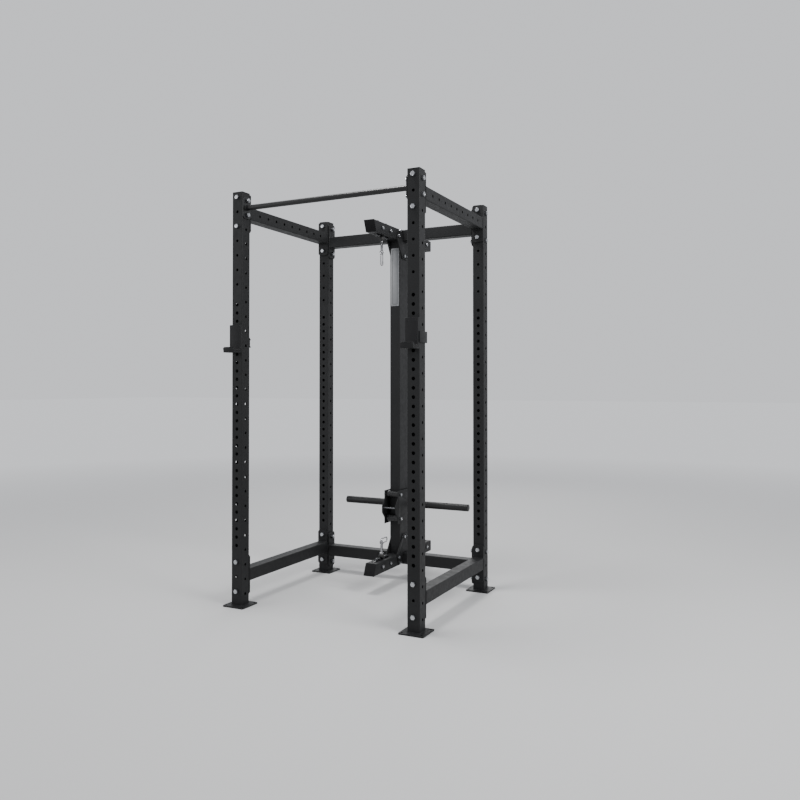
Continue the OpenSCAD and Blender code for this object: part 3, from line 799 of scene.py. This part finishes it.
def hook(node, gate_node):
    """Snap hook: one bent wire with a notched nose, cheeks and a rivet, and its sprung gate."""
    at = hook_matrix(node)
    r = HOOK_R
    path = [Vector((0, r, -r - HOOK_MOUTH)), Vector((0, r, -r - HOOK_MOUTH + 0.0006))]
    path += straight((0, r, -r - HOOK_MOUTH + 0.002), (0, r, -r), 3)[:-1]
    path += arc(0, -r, r, 0, 180, 20)[:-1]
    path += straight((0, -r, -r), (0, -r, -r - HOOK_STRAIGHT), 10)[:-1]
    path += arc(0, -r - HOOK_STRAIGHT, r, 180, 180, 20)
    end = -r - GATE_PIVOT - GATE_EYE_R - 0.0008
    path += straight((0, r, -r - HOOK_STRAIGHT), (0, r, end), 4)[1:]
    radii = [*NOSE_TAPER, *[WIRE_R] * (len(path) - 4), *reversed(NOSE_TAPER)]
    up = at.to_3x3() @ Vector((1, 0, 0))
    bm = bmesh.new()
    wire(bm, [at @ p for p in path], radii, up)
    pivot = at @ Matrix.Translation((0, r, -r - GATE_PIVOT))
    across = pivot @ Matrix.Rotation(radians(90), 4, "Y")
    for s in (-1, 1):
        cheek = across @ Matrix.Rotation(0 if s > 0 else pi, 4, "X")
        revolve(bm, cheek, CHEEK_PROFILE, 28, closed=True)
        lo, hi = sorted((s * CHEEK_IN, s * CHEEK_OUT))
        box_between(bm, pivot, (lo, -0.0026, -0.0066), (hi, 0.0026, -0.0028))
    revolve(bm, across, RIVET_PROFILE, 20)
    piece(node + "_wire", bm, BODY[node], SLOT[node], (node,))
    bm = bmesh.new()
    revolve(bm, across, GATE_EYE_PROFILE, 28, closed=True)
    top, neck = -r - HOOK_MOUTH - 0.0006, -r - GATE_PIVOT + 0.0045
    points = straight((0, r, neck), (0, r, top), 12)
    points.insert(1, points[0].lerp(points[1], 0.2))
    points.insert(-1, points[-1].lerp(points[-2], 0.15))
    radii = [0.0024, 0.0031] + [0.0035] * (len(points) - 4) + [0.0035, 0.0027]
    wire(bm, [at @ p for p in points], radii, up)
    box_between(bm, pivot, (-GATE_HALF, -0.0025, 0.002), (GATE_HALF, 0.0025, 0.0055))
    piece(gate_node + "_wire", bm, BODY[gate_node], SLOT[gate_node], (gate_node,))


hook("high_hook", "high_hook_gate")
hook("low_hook", "low_hook_gate")

# ---------- Pieces with rounded edges ----------

ROUNDED_ABOVE = radians(25)


def softened(node, width):
    """Copy of a CAD node with its sharp edges rounded, in the node's place."""
    bm = bmesh.new()
    bm.from_mesh(nodes[node].data)
    bmesh.ops.remove_doubles(bm, verts=bm.verts, dist=2e-6)
    bmesh.ops.dissolve_limit(bm, angle_limit=radians(0.5), verts=bm.verts, edges=bm.edges)
    edges = [
        edge
        for edge in bm.edges
        if len(edge.link_faces) == 2 and edge.calc_face_angle(0) > ROUNDED_ABOVE
    ]
    bmesh.ops.bevel(
        bm,
        geom=edges,
        offset=width,
        segments=2,
        profile=0.5,
        affect="EDGES",
        clamp_overlap=True,
    )
    for face in bm.faces:
        face.material_index = 0
    piece(node + "_edged", bm, BODY[node], SLOT[node], (node,))


for node, width in (
    ("upright_caps", 0.0010),
    ("arm_end_caps", 0.0010),
    ("label_plate", 0.0005),
    ("upper_saddle_plates", 0.0007),
    ("lower_saddle_plates", 0.0007),
    ("trolley_plate_left", 0.0007),
    ("trolley_plate_right", 0.0007),
    ("jcup_left_bracket", 0.0008),
    ("jcup_right_bracket", 0.0008),
    ("jcup_left_liner", 0.0012),
    ("jcup_right_liner", 0.0012),
):
    softened(node, width)

nodes["pull_up_bar"].data.materials[0] = SEMI_GLOSS
nodes["trolley_spacers"].data.materials[0] = DULL_ZINC

# ---------- Weld beads ----------

WELD_R = 0.0026
WELD_STEP = 0.0024
TUBE_HALF = 0.0375
TUBE_R = 0.005
BAR_R = 0.016
FOOT_T = 0.008
FLANGE_T = 0.010
BAR_FLANGE_T = 0.006
UPPER_REAR_Z = 2.350
LOWER_REAR_Z = 0.156
UPRIGHTS = tuple(f"upright_{row}_{side}" for row in ("front", "rear") for side in ("left", "right"))


def rounded_loop(half_x, half_y, r, step):
    """Points round a rectangle with round corners, in XY."""
    out = []
    for cx, cy, start in ((1, 1, 0), (-1, 1, 90), (-1, -1, 180), (1, -1, 270)):
        x, y = cx * (half_x - r), cy * (half_y - r)
        arc_steps = max(3, ceil(radians(90) * r / step))
        for i in range(arc_steps + 1):
            a = radians(start + 90 * i / arc_steps)
            out.append((x + r * cos(a), y + r * sin(a)))
    full = []
    for (x0, y0), (x1, y1) in zip(out, out[1:] + out[:1]):
        n = max(1, round(hypot(x1 - x0, y1 - y0) / step))
        full += [(x0 + (x1 - x0) * i / n, y0 + (y1 - y0) * i / n) for i in range(n)]
    return full


def bead(bm, matrix, loop):
    """Rippled weld bead along a closed loop in a matrix's XY plane."""
    turn = matrix.to_3x3()
    rings = []
    n = len(loop)
    for i, (x, y) in enumerate(loop):
        x0, y0 = loop[i - 1]
        x1, y1 = loop[(i + 1) % n]
        along = Vector((x1 - x0, y1 - y0, 0)).normalized()
        side = Vector((along.y, -along.x, 0))
        r = WELD_R * (1 + 0.10 * sin(i * 2.4) + 0.05 * sin(i * 0.37))
        centre = matrix @ Vector((x, y, 0))
        rings.append(tube_ring(bm, centre, turn @ side, turn @ Vector((0, 0, 1)), r, 8))
    skin(bm, rings, closed=True)


tube_loop = rounded_loop(TUBE_HALF, TUBE_HALF, TUBE_R, WELD_STEP)
bar_loop = [(BAR_R * cos(2 * pi * i / 42), BAR_R * sin(2 * pi * i / 42)) for i in range(42)]
bm = bmesh.new()
for node in UPRIGHTS:
    lo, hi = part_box(node)
    centre = (lo + hi) / 2
    bead(bm, Matrix.Translation((centre.x, centre.y, FOOT_T)), tube_loop)


def beam_welds(bm, node, axis, centre, loop, plate_t=FLANGE_T):
    """A bead at each end of a beam, where its tube meets its flange plates."""
    lo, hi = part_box(node)
    for end, s in ((lo, 1), (hi, -1)):
        place = Vector(centre)
        place[axis] = end[axis] + s * plate_t
        direction = Vector((0, 0, 0))
        direction[axis] = s
        bead(bm, axis_matrix(place, direction), loop)


for level in ("upper", "lower"):
    for side in ("left", "right"):
        node = f"side_beam_{level}_{side}"
        lo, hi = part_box(node)
        beam_welds(bm, node, 1, (lo + hi) / 2, tube_loop)
    node = "rear_beam_" + level
    lo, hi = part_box(node)
    height = UPPER_REAR_Z if level == "upper" else LOWER_REAR_Z
    beam_welds(bm, node, 0, (0, (lo.y + hi.y) / 2, height), tube_loop)
lo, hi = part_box("pull_up_bar")
beam_welds(bm, "pull_up_bar", 0, (lo + hi) / 2, bar_loop, BAR_FLANGE_T)
piece("weld_beads", bm, "frame", "powder_coat")

# ---------- Hole numbers ----------

RACK_TOP_Z = 1.816
RACK_PITCH = 0.05
RACK_COUNT = 30
NUMBER_H = 0.009
NUMBER_X = 0.0235
NUMBER_PROUD = 0.00012


def number_mesh(text):
    """Flat, slightly raised figures of a number, centred on the origin in XY."""
    curve = bpy.data.curves.new("figures", "FONT")
    curve.body = text
    curve.size = NUMBER_H / 0.7
    curve.align_x = "CENTER"
    curve.align_y = "CENTER"
    curve.extrude = NUMBER_PROUD
    curve.resolution_u = 3
    holder = bpy.data.objects.new("figures", curve)
    mesh = bpy.data.meshes.new_from_object(holder)
    bpy.data.objects.remove(holder)
    bpy.data.curves.remove(curve)
    return mesh


def hole_numbers():
    """Numbers beside the rack holes on the front face of each post."""
    bm = bmesh.new()
    figures = {i: number_mesh(str(RACK_COUNT - i)) for i in range(RACK_COUNT)}
    for node in UPRIGHTS:
        lo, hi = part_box(node)
        x, y = (lo.x + hi.x) / 2, (lo.y + hi.y) / 2 - TUBE_HALF
        for i, mesh in figures.items():
            z = RACK_TOP_Z - i * RACK_PITCH
            stand = Matrix.Translation((x + NUMBER_X, y, z)) @ Matrix.Rotation(radians(90), 4, "X")
            part = bmesh.new()
            part.from_mesh(mesh)
            part.transform(stand)
            bmesh.ops.remove_doubles(part, verts=part.verts, dist=1e-6)
            copy = bpy.data.meshes.new("figures")
            part.to_mesh(copy)
            part.free()
            bm.from_mesh(copy)
            bpy.data.meshes.remove(copy)
    for mesh in figures.values():
        bpy.data.meshes.remove(mesh)
    piece("hole_numbers", bm, "frame", "powder_coat", material=NUMBER_PAINT)


hole_numbers()

# ---------- Screws of the bar holders, rivets and border of the label ----------

SCREW_R = 0.0048
HOLDER_GAP = 0.0003
HOLDER_STEEL_T = 0.008
HOLDER_LINER_T = 0.014
EAR_SCREW_Z = 0.0645


def screw(bm, origin, direction, r):
    """Countersunk socket screw head, a little below flush at its rim."""
    at = axis_matrix(origin, direction)
    rings = [
        ring(bm, at, -0.0022, r * 0.5, 24),
        ring(bm, at, 0.0, r, 24),
        ring(bm, at, 0.0003, r * 0.94, 24),
        ring(bm, at, 0.0003, r * 0.55, 24),
        ring(bm, at, 0.0002, r * 0.5, 24),
        ring(bm, at, -0.0014, r * 0.48, 24),
        ring(bm, at, -0.0014, 0, 24),
    ]
    skin(bm, rings)
    bm.faces.new(rings[0])


for side, s in (("left", -1), ("right", 1)):
    lo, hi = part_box(f"jcup_{side}_bracket")
    post_lo, post_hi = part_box("upright_front_" + side)
    post_x = (post_lo.x + post_hi.x) / 2
    post_y = JOINT[f"jcup_{side}_turn"]["pos_m"][1]
    face_y = post_y - HOLDER_GAP - HOLDER_STEEL_T - HOLDER_LINER_T
    bm = bmesh.new()
    for dx, dz in ((-0.024, 0.150), (0.024, 0.150), (-0.024, 0.045), (0.024, 0.045)):
        screw(bm, (post_x + dx, face_y, lo.z + dz), (0, -1, 0), SCREW_R)
    ear_x = hi.x if s > 0 else lo.x
    for dy in (0.022, 0.053):
        screw(bm, (ear_x, post_y + dy, lo.z + EAR_SCREW_Z), (s, 0, 0), SCREW_R)
    for dx in (-0.018, 0.018):
        screw(bm, (post_x + dx, hi.y, lo.z + EAR_SCREW_Z), (0, 1, 0), SCREW_R)
    piece(f"jcup_{side}_screws", bm, "jcup_" + side, "zinc_plate", material=DARK_STEEL)

RIVET_INSET = 0.007
LABEL_RIVET = (
    (-0.001, 0),
    (-0.001, 0.0022),
    (0.0002, 0.0024),
    (0.0008, 0.0019),
    (0.0012, 0.0010),
    (0.0013, 0),
)
BORDER_INSET, BORDER_W, BORDER_PROUD = 0.0125, 0.0016, 0.00015

lo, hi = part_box("label_plate")
bm = bmesh.new()
for x in (lo.x + RIVET_INSET, hi.x - RIVET_INSET):
    for z in (lo.z + RIVET_INSET, hi.z - RIVET_INSET):
        revolve(bm, axis_matrix((x, lo.y, z), (0, -1, 0)), LABEL_RIVET, 24)
piece("label_rivets", bm, "frame", "zinc_plate")
bm = bmesh.new()
half_x, half_z = (hi.x - lo.x) / 2 - BORDER_INSET, (hi.z - lo.z) / 2 - BORDER_INSET
outer = rounded_loop(half_x, half_z, 0.003, 0.004)
rings = []
for inset, out in ((0, 0), (0, BORDER_PROUD), (BORDER_W, BORDER_PROUD), (BORDER_W, 0)):
    kx, kz = 1 - inset / half_x, 1 - inset / half_z
    rings.append([bm.verts.new((x * kx, lo.y - out, (lo.z + hi.z) / 2 + z * kz)) for x, z in outer])
skin(bm, rings, closed=True)
piece("label_border", bm, "frame", "black_plastic")

# ---------- Floor and light ----------

SKY = (0.95, 0.965, 1.0)
SKY_STRENGTH = 0.85
FADE_REACH = 20  # metres from the middle; the fade runs between two shares of it
FADE_START, FADE_END = 0.12, 0.5

bm = bmesh.new()
bmesh.ops.create_grid(bm, x_segments=1, y_segments=1, size=60)
floor_mesh = bpy.data.meshes.new("floor")
bm.to_mesh(floor_mesh)
bm.free()
floor = bpy.data.objects.new("floor", floor_mesh)
floor.location.z = -0.0005
scene.collection.objects.link(floor)
# The floor fades into the sky's own brightness, so no horizon shows.
pale = Nodes("floor_pale")
distance = pale.add("ShaderNodeVectorMath", operation="LENGTH")
pale.link(pale.place, distance.inputs[0])
scaled = pale.add("ShaderNodeMath", operation="MULTIPLY")
scaled.inputs[1].default_value = 1 / FADE_REACH
pale.link(distance.outputs["Value"], scaled.inputs[0])
far = scaled.outputs["Value"]
glow = pale.ramp(far, ((FADE_START, 0.0), (FADE_END, SKY_STRENGTH)))
pale.set(
    Base_Color=pale.ramp(far, ((FADE_START, 0.5), (FADE_END, 0.0))),
    Roughness=0.8,
    Specular_IOR_Level=0.1,
    Emission_Color=SKY + (1,),
    Emission_Strength=glow,
)
floor_mesh.materials.append(pale.material)

world = bpy.data.worlds.new("studio")
scene.world = world
world.use_nodes = True
world.node_tree.nodes["Background"].inputs["Color"].default_value = SKY + (1,)
world.node_tree.nodes["Background"].inputs["Strength"].default_value = SKY_STRENGTH


def softbox(name, place, target, size, power):
    """Rectangular area light aimed at a target."""
    light = bpy.data.lights.new(name, "AREA")
    light.shape = "RECTANGLE"
    light.size, light.size_y = size
    light.energy = power
    obj = bpy.data.objects.new(name, light)
    obj.location = place
    aim = Vector(target) - Vector(place)
    obj.rotation_euler = aim.to_track_quat("-Z", "Y").to_euler()
    scene.collection.objects.link(obj)


softbox("key", (4.6, -1.4, 4.2), (0, 0, 1.2), (2.4, 1.8), 230)
softbox("fill", (-4.4, -3.6, 2.8), (0, 0, 1.1), (2.4, 2.0), 40)
softbox("top", (-0.6, -0.8, 5.4), (0, 0, 0), (1.2, 1.2), 170)
softbox("back", (-1.5, 5.0, 3.2), (0, 0, 1.4), (3.0, 2.0), 80)
